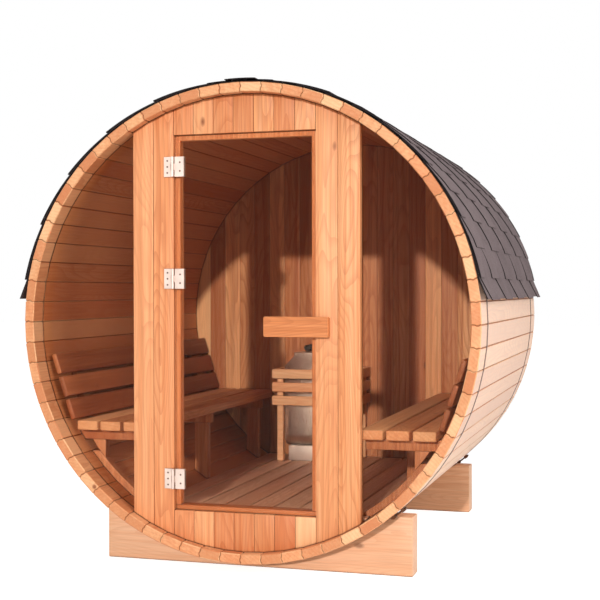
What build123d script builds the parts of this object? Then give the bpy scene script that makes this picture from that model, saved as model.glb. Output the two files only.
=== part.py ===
from build123d import *
import math
import os

# Barrel sauna with a glass front, millimetres. +X right, +Y to the back, +Z up.
# The origin is on the ground under the middle of the barrel.

# Barrel of bead-and-cove staves
barrel_radius = 900.0
barrel_length = 1800.0
ground_clearance = 45.0
stave_count = 68
stave_thickness = 38.0
stave_gap = 0.5
bead_depth = 4.0
bead_half_width = 8.0
bead_below_face = 15.0
bead_chord_count = 4
stave_sector_count = 12
seat_clearance = 0.3

# Cradles under the barrel
cradle_half_length = 620.0
cradle_height = 223.0
cradle_thickness = 90.0
front_cradle_from_rim = 165.0
rear_cradle_from_rim = 190.0

# Steel bands and their tension bolts
band_width = 20.0
band_thickness = 1.2
front_band_from_rim = 150.0
rear_band_from_rim = 175.0
band_bolt_angle = 141.0
band_lug_size = 14.0
band_lug_spread = 44.0
band_bolt_radius = 4.0

# Shingled roof shell
roof_thickness = 12.0
roof_stave_count = 16
roof_crown_stave_count = 5
roof_flare_angle = 15.0
roof_section_gap = 0.5

# Front wall
front_recess = 41.0
wall_board_thickness = 40.0
door_opening_half_width = 283.0
header_height = 145.0
sill_height = 144.0
post_width = 168.0
post_board_count = 2
header_board_count = 7
board_gap = 0.5
ledger_height = 60.0
ledger_thickness = 38.0
ledger_on_post = 120.0
stop_width = 20.0
stop_depth = 34.0
threshold_height = 18.0
window_thickness = 6.0
window_behind_rim = 75.0

# Back wall
back_recess = 41.0
back_board_thickness = 38.0
back_board_count = 21

# Glass door, its hinges and its wooden handle
door_clearance = 6.0
door_glass_thickness = 8.0
door_glass_behind_face = 2.0
stop_clearance = 9.0
upper_hinge_below_opening = 121.0
middle_hinge_above_axis = 168.0
lower_hinge_above_opening = 120.0
hinge_height = 76.0
hinge_knuckle_radius = 6.0
hinge_pin_radius = 2.7
hinge_pin_clearance = 0.3
hinge_knuckle_gap = 0.5
hinge_leaf_thickness = 3.0
hinge_gasket_thickness = 3.0
hinge_axis_outside_opening = 2.0
hinge_axis_before_face = 7.0
hinge_post_leaf_width = 33.0
hinge_door_leaf_width = 46.0
handle_length = 250.0
handle_height = 75.0
handle_thickness = 22.0
handle_post_overlap = 55.0
handle_post_clearance = 8.0
handle_below_axis = 12.0
handle_corner_radius = 6.0
handle_spacer_radius = 9.0
handle_spacer_inset = 42.0
handle_spacer_pitch = 120.0
handle_washer_radius = 12.0
handle_washer_thickness = 3.0

# Slatted floor
floor_above_barrel_foot = 175.0
floor_board_thickness = 24.0
floor_board_width = 92.0
floor_board_gap = 10.0
floor_board_count = 9
floor_bearer_height = 70.0
floor_bearer_thickness = 45.0
floor_bearer_count = 4
wall_gap = 2.0

# Benches
bench_above_barrel_foot = 507.0
bench_from_staves = 24.5
bench_slat_width = 88.0
bench_slat_gap = 12.0
bench_slat_count = 3
bench_slat_thickness = 38.0
bench_behind_window = 14.0
bench_edge_radius = 6.0
bearer_height = 42.0
bearer_thickness = 38.0
bearer_setback = 8.0
bearer_place_shares = (0.04, 0.459, 0.893)
leg_width = 60.0
leg_inner_setback = 24.0
foot_plank_thickness = 28.0
foot_plank_below_seat = 127.0
front_leg_offset = 195.0

# Backrests
backrest_slat_count = 3
backrest_slat_height = 83.0
backrest_slat_gap = 12.0
backrest_slat_thickness = 22.0
backrest_from_staves = 15.5
batten_width = 60.0
batten_place_shares = (0.105, 0.493, 0.881)

# Heater with its guard
guard_left = -345.0
guard_right = 88.0
guard_depth = 288.0
guard_above_floor = 457.0
guard_rail_height = 45.0
guard_rail_gap = 21.0
guard_rail_count = 3
guard_rail_thickness = 20.0
guard_leg_size = 30.0
heater_width = 330.0
heater_depth = 200.0
heater_bottom_above_floor = 75.0
heater_shoulder_above_floor = 470.0
heater_top_above_floor = 520.0
heater_collar_width = 250.0
heater_collar_depth = 140.0
heater_lip = 18.0
heater_belly_radius = 60.0
stones_height = 42.0
stones_inset = 10.0
stones_top_share = 0.55
heater_base_width = 300.0
heater_base_depth = 170.0

# Places worked out from the sizes above
axis_height = ground_clearance + barrel_radius
front_rim = -barrel_length / 2
rear_rim = barrel_length / 2
inner_radius = barrel_radius - stave_thickness
stave_angle = 360.0 / stave_count
wall_front = front_rim + front_recess
wall_back = wall_front + wall_board_thickness
ledger_front = wall_back + seat_clearance
ledger_back = ledger_front + ledger_thickness
window_front = front_rim + window_behind_rim
back_wall_front = rear_rim - back_recess - back_board_thickness
floor_top = ground_clearance + floor_above_barrel_foot
bench_top = ground_clearance + bench_above_barrel_foot
bench_depth = axis_height - bench_top
bench_width = bench_slat_count * bench_slat_width + (bench_slat_count - 1) * bench_slat_gap
bench_outer_edge = (
    math.sqrt(inner_radius**2 - (bench_depth + bench_slat_thickness) ** 2) - bench_from_staves
)
bench_inner_edge = bench_outer_edge - bench_width
bench_front = window_front + window_thickness + bench_behind_window
bench_back = back_wall_front - wall_gap
bench_length = bench_back - bench_front
backrest_height = (
    backrest_slat_count * (backrest_slat_height + backrest_slat_gap) - backrest_slat_gap
)
backrest_reach = inner_radius - backrest_from_staves
backrest_back = math.sqrt(backrest_reach**2 - (backrest_height / 2) ** 2)
backrest_lean = math.degrees(
    math.asin(bench_depth / backrest_reach) - math.asin(backrest_height / 2 / backrest_reach)
)
opening_top = axis_height + inner_radius - header_height
opening_bottom = axis_height - inner_radius + sill_height
hinge_middles = (
    opening_top - upper_hinge_below_opening,
    axis_height + middle_hinge_above_axis,
    opening_bottom + lower_hinge_above_opening,
)
post_outer = door_opening_half_width + post_width
glass_front = wall_front + door_glass_behind_face
glass_back = glass_front + door_glass_thickness
stop_front = glass_back + stop_clearance
guard_front = back_wall_front - guard_depth
heater_middle = (guard_left + guard_right) / 2
heater_centre_y = guard_front + guard_depth / 2
roof_inner_radius = barrel_radius + band_thickness + 2 * seat_clearance


def box(x0, x1, y0, y1, z0, z1):
    """A box between two corners."""
    size = Box(x1 - x0, y1 - y0, z1 - z0, align=(Align.MIN, Align.MIN, Align.MIN))
    return Pos(x0, y0, z0) * size


def prism(outline, y0, y1):
    """A face drawn across the barrel, with X and height from the axis, run from y0 to y1."""
    across = Plane(origin=(0, y1, axis_height), x_dir=(1, 0, 0), z_dir=(0, -1, 0))
    return extrude(across * outline, amount=y1 - y0)


def polygon_points(apothem, first, last):
    """The corners of the stave polygon from one stave joint to another, counted clockwise from the top."""
    corner = apothem / math.cos(math.radians(stave_angle / 2))
    turns = [math.radians(stave_angle * k) for k in range(first, last + 1)]
    return [(corner * math.sin(turn), corner * math.cos(turn)) for turn in turns]


def barrel_prism(apothem, y0, y1):
    """A solid prism with the barrel's own polygon."""
    corners = polygon_points(apothem, 0, stave_count - 1)
    return prism(make_face(Polyline(*corners, close=True)), y0, y1)


def inside_barrel(solid):
    """Trim a solid to the inner faces of the staves, less the seat clearance."""
    bounds = solid.bounding_box()
    cavity = barrel_prism(inner_radius - seat_clearance, bounds.min.Y - 1, bounds.max.Y + 1)
    return solid & cavity


def solids_of(shape):
    """The separate solids of a shape as a list."""
    return list(shape.solids())


def save(name, solids):
    """Write one sub-part as a STEP file."""
    flat = []
    for solid in solids:
        flat.extend(solids_of(solid))
    shape = flat[0] if len(flat) == 1 else Compound(children=flat)
    export_step(shape, f"parts/{name}.step")


def joint_point(distance, offset, side):
    """A point on a stave's edge at a distance from the axis, moved square to the joint."""
    half = math.radians(stave_angle / 2) * side
    x = distance * math.sin(half) + offset * math.cos(half)
    z = distance * math.cos(half) - offset * math.sin(half)
    return (x, z)


def bead_points(start, side):
    """The round of the bead or cove in short chords, from its inner end to its outer end."""
    radius = (bead_half_width**2 + bead_depth**2) / (2 * bead_depth)
    half_sweep = math.asin(bead_half_width / radius)
    middle = barrel_radius - bead_below_face
    points = []
    for k in range(bead_chord_count + 1):
        turn = half_sweep * (2 * k / bead_chord_count - 1)
        rise = radius * (math.cos(turn) - math.cos(half_sweep))
        points.append(joint_point(middle + radius * math.sin(turn), start + rise, side))
    return points


def stave():
    """One stave at the top of the barrel, with a bead on its right edge and a cove on its left."""
    half_gap = stave_gap / 2
    outer = barrel_radius / math.cos(math.radians(stave_angle / 2))
    inner = inner_radius / math.cos(math.radians(stave_angle / 2))
    bead = bead_points(-half_gap, 1)
    cove = bead_points(half_gap, -1)
    outline = Polyline(
        joint_point(inner, -half_gap, 1),
        *bead,
        joint_point(outer, -half_gap, 1),
        joint_point(outer, half_gap, -1),
        *reversed(cove),
        joint_point(inner, half_gap, -1),
        close=True,
    )
    return prism(make_face(outline), front_rim, rear_rim)


def turned(solid, angle):
    """Turn a solid clockwise about the barrel's axis, seen from the front."""
    return Pos(0, 0, axis_height) * Rot(0, angle, 0) * Pos(0, 0, -axis_height) * solid


def stave_sector(first, last):
    """The staves from one number up to another."""
    one = stave()
    return [turned(one, stave_angle * (k + 0.5)) for k in range(first, last)]


def cradle(front):
    """A timber across the barrel with the barrel's curve cut into its top."""
    timber = box(
        -cradle_half_length, cradle_half_length, front, front + cradle_thickness, 0, cradle_height
    )
    return timber - barrel_prism(barrel_radius + seat_clearance, front - 1, front + cradle_thickness + 1)


def band(middle):
    """A flat steel band round the staves with two lugs and a tension bolt."""
    inner = barrel_radius + seat_clearance
    front = middle - band_width / 2
    back = middle + band_width / 2
    ring = barrel_prism(inner + band_thickness, front, back) - barrel_prism(inner, front - 1, back + 1)
    lug_foot = inner + band_thickness / 2
    lugs = []
    for side in (-1, 1):
        lug_middle = side * band_lug_spread / 2
        lug = box(
            lug_middle - band_lug_size / 2,
            lug_middle + band_lug_size / 2,
            front,
            back,
            axis_height + lug_foot,
            axis_height + lug_foot + band_lug_size,
        )
        lugs.append(lug)
    bolt_height = axis_height + lug_foot + band_lug_size / 2
    bolt_length = band_lug_spread + 2 * band_lug_size
    bolt_end = Pos(-bolt_length / 2, middle, bolt_height) * Rot(0, 90, 0)
    bolt = extrude(bolt_end * RegularPolygon(band_bolt_radius, 6), amount=bolt_length)
    fitting = turned(lugs[0] + lugs[1] + bolt, band_bolt_angle)
    return ring + fitting


def roof_section(first, last):
    """A shell over the staves from one joint to another, each end a plain edge."""
    inner = polygon_points(roof_inner_radius, first, last)
    outer = polygon_points(roof_inner_radius + roof_thickness, first, last)
    outline = make_face(Polyline(*inner, *reversed(outer), close=True))
    return prism(outline, front_rim, rear_rim)


def trimmed_right(first):
    """Cut a sliver off the crown side of a roof section, so that the sections stay apart."""
    turn = stave_angle * first
    reach = roof_inner_radius + 2 * roof_thickness
    cut = box(
        -reach, roof_section_gap, front_rim - 1, rear_rim + 1, axis_height, axis_height + reach
    )
    return turned(cut, turn)


def roof_side():
    """The right side of the roof, whose last strip flares outward past the staves."""
    first = roof_crown_stave_count
    last = roof_stave_count
    inner = polygon_points(roof_inner_radius, first, last)
    knee = inner[-2]
    run = (inner[-1][0] - knee[0], inner[-1][1] - knee[1])
    turn = math.radians(roof_flare_angle)
    flared = (
        run[0] * math.cos(turn) - run[1] * math.sin(turn),
        run[0] * math.sin(turn) + run[1] * math.cos(turn),
    )
    inner[-1] = (knee[0] + flared[0], knee[1] + flared[1])
    outer = polygon_points(roof_inner_radius + roof_thickness, first, last)
    length = math.hypot(*flared)
    square = (-flared[1] / length * roof_thickness, flared[0] / length * roof_thickness)
    outer[-1] = (inner[-1][0] + square[0], inner[-1][1] + square[1])
    outline = make_face(Polyline(*inner, *reversed(outer), close=True))
    return prism(outline, front_rim, rear_rim) - trimmed_right(first)


def mirrored(solid):
    """The same piece on the other side of the barrel."""
    return mirror(solid, about=Plane.YZ)


def boards(x0, x1, count, y0, y1, z0, z1):
    """Upright boards side by side, trimmed to the inside of the barrel."""
    pitch = (x1 - x0) / count
    pieces = []
    for k in range(count):
        left = x0 + pitch * k + (board_gap / 2 if k > 0 else 0)
        right = x0 + pitch * (k + 1) - (board_gap / 2 if k < count - 1 else 0)
        pieces.append(inside_barrel(box(left, right, y0, y1, z0, z1)))
    return pieces


def front_post():
    """The right post beside the door, of two timbers."""
    return boards(
        door_opening_half_width,
        post_outer,
        post_board_count,
        wall_front,
        wall_back,
        ground_clearance,
        axis_height + barrel_radius,
    )


def ledger(z0, z1):
    """The rail behind the boards, screwed to both posts."""
    reach = door_opening_half_width + ledger_on_post
    return inside_barrel(box(-reach, reach, ledger_front, ledger_back, z0, z1))


def front_header():
    """The boards over the door and the ledger behind them."""
    half = door_opening_half_width - board_gap
    top = axis_height + barrel_radius
    pieces = boards(-half, half, header_board_count, wall_front, wall_back, opening_top, top)
    return pieces + [ledger(opening_top, opening_top + ledger_height)]


def front_sill():
    """The boards under the door and the ledger behind them."""
    half = door_opening_half_width - board_gap
    pieces = boards(-half, half, header_board_count, wall_front, wall_back, ground_clearance, opening_bottom)
    return pieces + [ledger(opening_bottom - ledger_height, opening_bottom)]


def door_threshold():
    """The strip on the floor of the doorway, behind the glass."""
    half = door_opening_half_width - seat_clearance
    bottom = opening_bottom + seat_clearance
    return box(-half, half, stop_front, ledger_back, bottom, bottom + threshold_height)


def door_stops():
    """The frame that the door closes against, at both sides and the top."""
    half = door_opening_half_width - seat_clearance
    bottom = opening_bottom + threshold_height + 2 * seat_clearance
    top = opening_top - seat_clearance
    frame = box(-half, half, stop_front, stop_front + stop_depth, bottom, top)
    hole = box(
        -half + stop_width,
        half - stop_width,
        stop_front - 1,
        stop_front + stop_depth + 1,
        bottom - 1,
        top - stop_width,
    )
    return frame - hole


def window():
    """The right pane, straight on one side and following the staves on the other."""
    pane = box(
        post_outer + seat_clearance,
        barrel_radius,
        window_front,
        window_front + window_thickness,
        ground_clearance,
        axis_height + barrel_radius,
    )
    return inside_barrel(pane)


def back_wall():
    """Upright boards that close the back."""
    return boards(
        -inner_radius,
        inner_radius,
        back_board_count,
        back_wall_front,
        rear_rim - back_recess,
        ground_clearance,
        axis_height + barrel_radius,
    )


def floor_deck():
    """Boards from the front wall to the back wall, with drainage gaps."""
    pitch = floor_board_width + floor_board_gap
    start = -(floor_board_count * pitch - floor_board_gap) / 2
    pieces = []
    for k in range(floor_board_count):
        left = start + pitch * k
        board = box(
            left,
            left + floor_board_width,
            ledger_back + wall_gap,
            bench_back,
            floor_top - floor_board_thickness,
            floor_top,
        )
        pieces.append(inside_barrel(board))
    return pieces


def floor_bearers():
    """Timbers across the bottom of the barrel that carry the deck."""
    top = floor_top - floor_board_thickness - seat_clearance
    first = ledger_back + floor_bearer_thickness
    last = back_wall_front - 3 * floor_bearer_thickness
    pieces = []
    for k in range(floor_bearer_count):
        front = first + (last - first) * k / (floor_bearer_count - 1)
        bearer = box(
            -barrel_radius,
            barrel_radius,
            front,
            front + floor_bearer_thickness,
            top - floor_bearer_height,
            top,
        )
        pieces.append(inside_barrel(bearer))
    return pieces


def bench_seat():
    """The slats of the right bench, with rounded top edges."""
    pieces = []
    for k in range(bench_slat_count):
        left = bench_inner_edge + k * (bench_slat_width + bench_slat_gap)
        slat = box(
            left,
            left + bench_slat_width,
            bench_front,
            bench_back,
            bench_top - bench_slat_thickness,
            bench_top,
        )
        edges = slat.edges().filter_by(Axis.Y).group_by(Axis.Z)[-1]
        pieces.append(fillet(edges, bench_edge_radius))
    return pieces


def bench_leg(front, x, foot):
    """An upright from a foot level to the underside of the bearer."""
    top = bench_top - bench_slat_thickness - bearer_height - 2 * seat_clearance
    return box(x, x + leg_width, front, front + bearer_thickness, foot, top)


def foot_plank(front):
    """The plank on the staves that the front leg stands on, its top square to the barrel's radius."""
    plank = box(
        bench_inner_edge,
        barrel_radius,
        front,
        front + bearer_thickness,
        floor_top + seat_clearance,
        bench_top - foot_plank_below_seat,
    )
    hollow = barrel_prism(
        inner_radius - seat_clearance - foot_plank_thickness, front - 1, front + bearer_thickness + 1
    )
    return inside_barrel(plank) - hollow


def bench_supports():
    """Bearers across the right bench, with their legs and the front foot plank."""
    top = bench_top - bench_slat_thickness - seat_clearance
    pieces = []
    for k, share in enumerate(bearer_place_shares):
        front = bench_front + share * bench_length
        bearer = box(
            bench_inner_edge + bearer_setback,
            barrel_radius,
            front,
            front + bearer_thickness,
            top - bearer_height,
            top,
        )
        pieces.append(inside_barrel(bearer))
        if k == 0:
            leg_x = bench_inner_edge + front_leg_offset
            leg = bench_leg(front, leg_x, ground_clearance)
            hollow = barrel_prism(
                inner_radius - foot_plank_thickness - 2 * seat_clearance,
                front - 1,
                front + bearer_thickness + 1,
            )
            pieces.append(leg & hollow)
            pieces.append(foot_plank(front))
        else:
            leg_x = bench_inner_edge + leg_inner_setback
            leg = bench_leg(front, leg_x, floor_top + seat_clearance)
            pieces.append(inside_barrel(leg))
    return pieces


def backrest_slats():
    """The slats of the right backrest, flat along a chord of the barrel's inner round."""
    pieces = []
    for k in range(backrest_slat_count):
        low = axis_height - backrest_height / 2 + k * (backrest_slat_height + backrest_slat_gap)
        slat = box(
            backrest_back - backrest_slat_thickness,
            backrest_back,
            bench_front,
            bench_back,
            low,
            low + backrest_slat_height,
        )
        pieces.append(inside_barrel(turned(slat, backrest_lean)))
    return pieces


def backrest_battens():
    """The battens between the backrest slats and the staves."""
    front = backrest_back + seat_clearance
    low = axis_height - backrest_height / 2
    pieces = []
    for share in batten_place_shares:
        start = bench_front + share * bench_length
        batten = box(front, barrel_radius, start, start + batten_width, low, low + backrest_height)
        pieces.append(inside_barrel(turned(batten, backrest_lean)))
    return pieces


def guard():
    """Three rails round the heater on four legs, fused where they meet."""
    back = bench_back
    top = floor_top + guard_above_floor
    rail = guard_rail_thickness
    outer_legs = []
    for x in (guard_left + rail, guard_right - rail - guard_leg_size):
        for y in (guard_front + rail, back - guard_leg_size):
            outer_legs.append(
                box(x, x + guard_leg_size, y, y + guard_leg_size, floor_top + seat_clearance, top)
            )
    frame = outer_legs[0] + outer_legs[1] + outer_legs[2] + outer_legs[3]
    for k in range(guard_rail_count):
        rail_top = top - k * (guard_rail_height + guard_rail_gap)
        low = rail_top - guard_rail_height
        frame += box(guard_left, guard_right, guard_front, guard_front + rail, low, rail_top)
        frame += box(guard_left, guard_left + rail, guard_front + rail, back, low, rail_top)
        frame += box(guard_right - rail, guard_right, guard_front + rail, back, low, rail_top)
    return frame


def centred_rectangle(width, depth, z):
    """A rectangle at a level over the heater's centre."""
    return Pos(heater_middle, heater_centre_y, z) * Rectangle(width, depth)


def heater_body():
    """The steel casing: a rounded belly, a sloping shoulder and a raised lip for the stones."""
    bottom = floor_top + heater_bottom_above_floor
    shoulder = floor_top + heater_shoulder_above_floor
    top = floor_top + heater_top_above_floor
    belly = extrude(centred_rectangle(heater_width, heater_depth, bottom), amount=shoulder - bottom)
    low_edges = belly.edges().filter_by(Axis.X).group_by(Axis.Z)[0]
    belly = fillet(low_edges, heater_belly_radius)
    slope = loft(
        [
            centred_rectangle(heater_width, heater_depth, shoulder),
            centred_rectangle(heater_collar_width, heater_collar_depth, top),
        ],
        ruled=True,
    )
    lip = extrude(centred_rectangle(heater_collar_width, heater_collar_depth, top), amount=heater_lip)
    return belly + slope + lip


def heater_stones():
    """The heap of stones on the heater, as one sloping block."""
    foot = floor_top + heater_top_above_floor + heater_lip + seat_clearance
    width = heater_collar_width - 2 * stones_inset
    depth = heater_collar_depth - 2 * stones_inset
    return loft(
        [
            centred_rectangle(width, depth, foot),
            centred_rectangle(width * stones_top_share, depth * stones_top_share, foot + stones_height),
        ],
        ruled=True,
    )


def heater_base():
    """The box under the heater, standing on the floor."""
    foot = floor_top + seat_clearance
    height = floor_top + heater_bottom_above_floor - foot
    return extrude(centred_rectangle(heater_base_width, heater_base_depth, foot), amount=height)


def door_glass():
    """The glass leaf with its clearance all round."""
    half = door_opening_half_width - door_clearance
    return box(
        -half, half, glass_front, glass_back, opening_bottom + door_clearance, opening_top - door_clearance
    )


def hinge_axis():
    """Where the hinge axis stands, seen from above."""
    return (-door_opening_half_width - hinge_axis_outside_opening, wall_front - hinge_axis_before_face)


def upright(radius, x, y, z0, z1):
    """An upright round bar."""
    bar = Cylinder(radius, z1 - z0, align=(Align.CENTER, Align.CENTER, Align.MIN))
    return Pos(x, y, z0) * bar


def hinge_post_leaf(hinge_middle):
    """The plate on the post with the upper and lower knuckles, bored for the pin."""
    x, y = hinge_axis()
    low = hinge_middle - hinge_height / 2
    third = hinge_height / 3
    bore = upright(hinge_pin_radius + hinge_pin_clearance, x, y, low - 1, low + hinge_height + 1)
    outer = x - hinge_knuckle_radius - hinge_post_leaf_width + hinge_leaf_thickness
    plate = box(
        outer,
        x - hinge_knuckle_radius - hinge_leaf_thickness,
        wall_front - seat_clearance - hinge_leaf_thickness,
        wall_front - seat_clearance,
        low,
        low + hinge_height,
    )
    leaf = plate
    for z0 in (low, low + 2 * third):
        leaf += box(
            x - hinge_knuckle_radius - hinge_leaf_thickness,
            x,
            wall_front - seat_clearance - hinge_leaf_thickness,
            wall_front - seat_clearance,
            z0,
            z0 + third,
        )
        leaf += upright(hinge_knuckle_radius, x, y, z0, z0 + third)
    return leaf - bore


def hinge_door_leaf(hinge_middle):
    """The clamp on the glass with the middle knuckle and the pin."""
    x, y = hinge_axis()
    low = hinge_middle - hinge_height / 2
    third = hinge_height / 3
    plate_back = glass_front - hinge_gasket_thickness
    plate_front = plate_back - hinge_leaf_thickness
    glass_edge = -door_opening_half_width + door_clearance
    plate = box(glass_edge, x + hinge_door_leaf_width, plate_front, plate_back, low, low + hinge_height)
    tongue = box(
        x,
        glass_edge,
        plate_front,
        plate_back,
        low + third + hinge_knuckle_gap,
        low + 2 * third - hinge_knuckle_gap,
    )
    knuckle = upright(
        hinge_knuckle_radius,
        x,
        y,
        low + third + hinge_knuckle_gap,
        low + 2 * third - hinge_knuckle_gap,
    )
    pin = upright(hinge_pin_radius, x, y, low, low + hinge_height)
    gasket = box(
        glass_edge,
        x + hinge_door_leaf_width,
        plate_back,
        glass_front - seat_clearance,
        low,
        low + hinge_height,
    )
    keeper = box(
        glass_edge,
        x + hinge_door_leaf_width,
        glass_back + seat_clearance,
        glass_back + seat_clearance + hinge_leaf_thickness,
        low,
        low + hinge_height,
    )
    return [plate + tongue + knuckle + pin + gasket, keeper]


def door_handle():
    """The wooden pull across the glass on two spacers, with a washer behind each."""
    right = door_opening_half_width + handle_post_overlap
    left = right - handle_length
    back = wall_front - handle_post_clearance
    middle = axis_height - handle_below_axis
    board = box(
        left,
        right,
        back - handle_thickness,
        back,
        middle - handle_height / 2,
        middle + handle_height / 2,
    )
    board = fillet(board.edges().filter_by(Axis.Y), handle_corner_radius)
    pieces = []
    for k in range(2):
        x = left + handle_spacer_inset + k * handle_spacer_pitch
        length = glass_front - seat_clearance - back
        spacer = Pos(x, back + length / 2, middle) * Rot(90, 0, 0) * Cylinder(handle_spacer_radius, length)
        board += spacer
        washer_middle = glass_back + seat_clearance + handle_washer_thickness / 2
        washer = Pos(x, washer_middle, middle) * Rot(90, 0, 0) * Cylinder(
            handle_washer_radius, handle_washer_thickness
        )
        pieces.append(washer)
    return [board] + pieces


def build():
    """Write every sub-part."""
    os.makedirs("parts", exist_ok=True)
    for k in range(stave_sector_count):
        first = round(stave_count * k / stave_sector_count)
        last = round(stave_count * (k + 1) / stave_sector_count)
        save(f"staves_sector_{k + 1:02d}", stave_sector(first, last))
    save("cradle_front", [cradle(front_rim + front_cradle_from_rim)])
    save("cradle_rear", [cradle(rear_rim - rear_cradle_from_rim - cradle_thickness)])
    save("band_front", [band(front_rim + front_band_from_rim)])
    save("band_rear", [band(rear_rim - rear_band_from_rim)])
    crown = roof_crown_stave_count
    save("roof_crown", [roof_section(-crown, crown)])
    save("roof_right", [roof_side()])
    save("roof_left", [mirrored(roof_side())])
    post = front_post()
    save("front_post_right", post)
    save("front_post_left", [mirrored(piece) for piece in post])
    save("front_header", front_header())
    save("front_sill", front_sill())
    save("door_threshold", [door_threshold()])
    save("door_stops", [door_stops()])
    save("window_right", [window()])
    save("window_left", [mirrored(window())])
    save("back_wall", back_wall())
    save("floor_deck", floor_deck())
    save("floor_bearers", floor_bearers())
    for side, place in (("right", lambda piece: piece), ("left", mirrored)):
        save(f"bench_{side}_seat", [place(piece) for piece in bench_seat()])
        save(f"bench_{side}_supports", [place(piece) for piece in bench_supports()])
        save(f"backrest_{side}_slats", [place(piece) for piece in backrest_slats()])
        save(f"backrest_{side}_battens", [place(piece) for piece in backrest_battens()])
    save("heater_guard", [guard()])
    save("heater_body", [heater_body()])
    save("heater_stones", [heater_stones()])
    save("heater_base", [heater_base()])
    save("door_glass", [door_glass()])
    save("door_handle", door_handle())
    save("hinge_post_leaves", [hinge_post_leaf(middle) for middle in hinge_middles])
    door_leaves = []
    for middle in hinge_middles:
        door_leaves.extend(hinge_door_leaf(middle))
    save("hinge_door_leaves", door_leaves)


build()
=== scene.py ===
"""Dress the barrel sauna: its timber, shingles, steel, glass and stones, in the frame's own metres."""
import logging
import math
import random
from dataclasses import dataclass
from enum import Enum

import bpy
from mathutils import Matrix, Vector


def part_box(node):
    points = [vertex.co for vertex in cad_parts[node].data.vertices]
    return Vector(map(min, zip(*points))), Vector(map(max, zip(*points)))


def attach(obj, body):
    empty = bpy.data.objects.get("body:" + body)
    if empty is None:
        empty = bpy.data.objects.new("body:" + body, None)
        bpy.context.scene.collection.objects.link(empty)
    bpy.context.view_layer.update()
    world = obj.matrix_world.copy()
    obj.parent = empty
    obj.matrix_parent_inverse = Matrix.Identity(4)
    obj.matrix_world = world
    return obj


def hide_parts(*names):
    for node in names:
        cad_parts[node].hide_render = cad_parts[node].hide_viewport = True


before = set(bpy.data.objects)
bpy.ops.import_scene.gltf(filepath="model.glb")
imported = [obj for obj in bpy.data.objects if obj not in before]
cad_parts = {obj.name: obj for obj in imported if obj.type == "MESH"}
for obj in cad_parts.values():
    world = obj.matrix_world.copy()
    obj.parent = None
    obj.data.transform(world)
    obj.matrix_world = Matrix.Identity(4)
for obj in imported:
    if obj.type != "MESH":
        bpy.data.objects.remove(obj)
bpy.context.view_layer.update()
LOG = logging.getLogger("barrel_sauna")

Colour = tuple[float, float, float, float]
Span = tuple[float, float]
Socket = bpy.types.NodeSocket
Material = bpy.types.Material
Piece = bpy.types.Object

WHITE = (1.0, 1.0, 1.0, 1.0)
AXIS_HEIGHT = 0.945
MERGE_DISTANCE = 0.00002
FLAT_ANGLE = math.radians(2.0)
SMOOTH_ANGLE = math.radians(28.0)
ROOM_BODY = "barrel"
DOOR_BODY = "door"
POST_LEAVES = "hinge_post_leaves"
DOOR_LEAVES = "hinge_door_leaves"


class Grain(Enum):
    """The axis along which a board's fibres run."""

    ALONG_X = 0
    ALONG_Y = 1
    ALONG_Z = 2


def tone(red: int, green: int, blue: int) -> Colour:
    """Turn a screen colour into a linear one.

    Args:
        red: Red from 0 to 255.
        green: Green from 0 to 255.
        blue: Blue from 0 to 255.

    Returns:
        The linear colour with full opacity.
    """
    linear = []
    for value in (red, green, blue):
        share = value / 255
        linear.append(share / 12.92 if share <= 0.04045 else ((share + 0.055) / 1.055) ** 2.4)
    return (linear[0], linear[1], linear[2], 1.0)


def dimmed(colour: Colour, share: float) -> Colour:
    """The same colour at a share of its light."""
    red, green, blue, _ = colour
    return (red * share, green * share, blue * share, 1.0)


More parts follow.
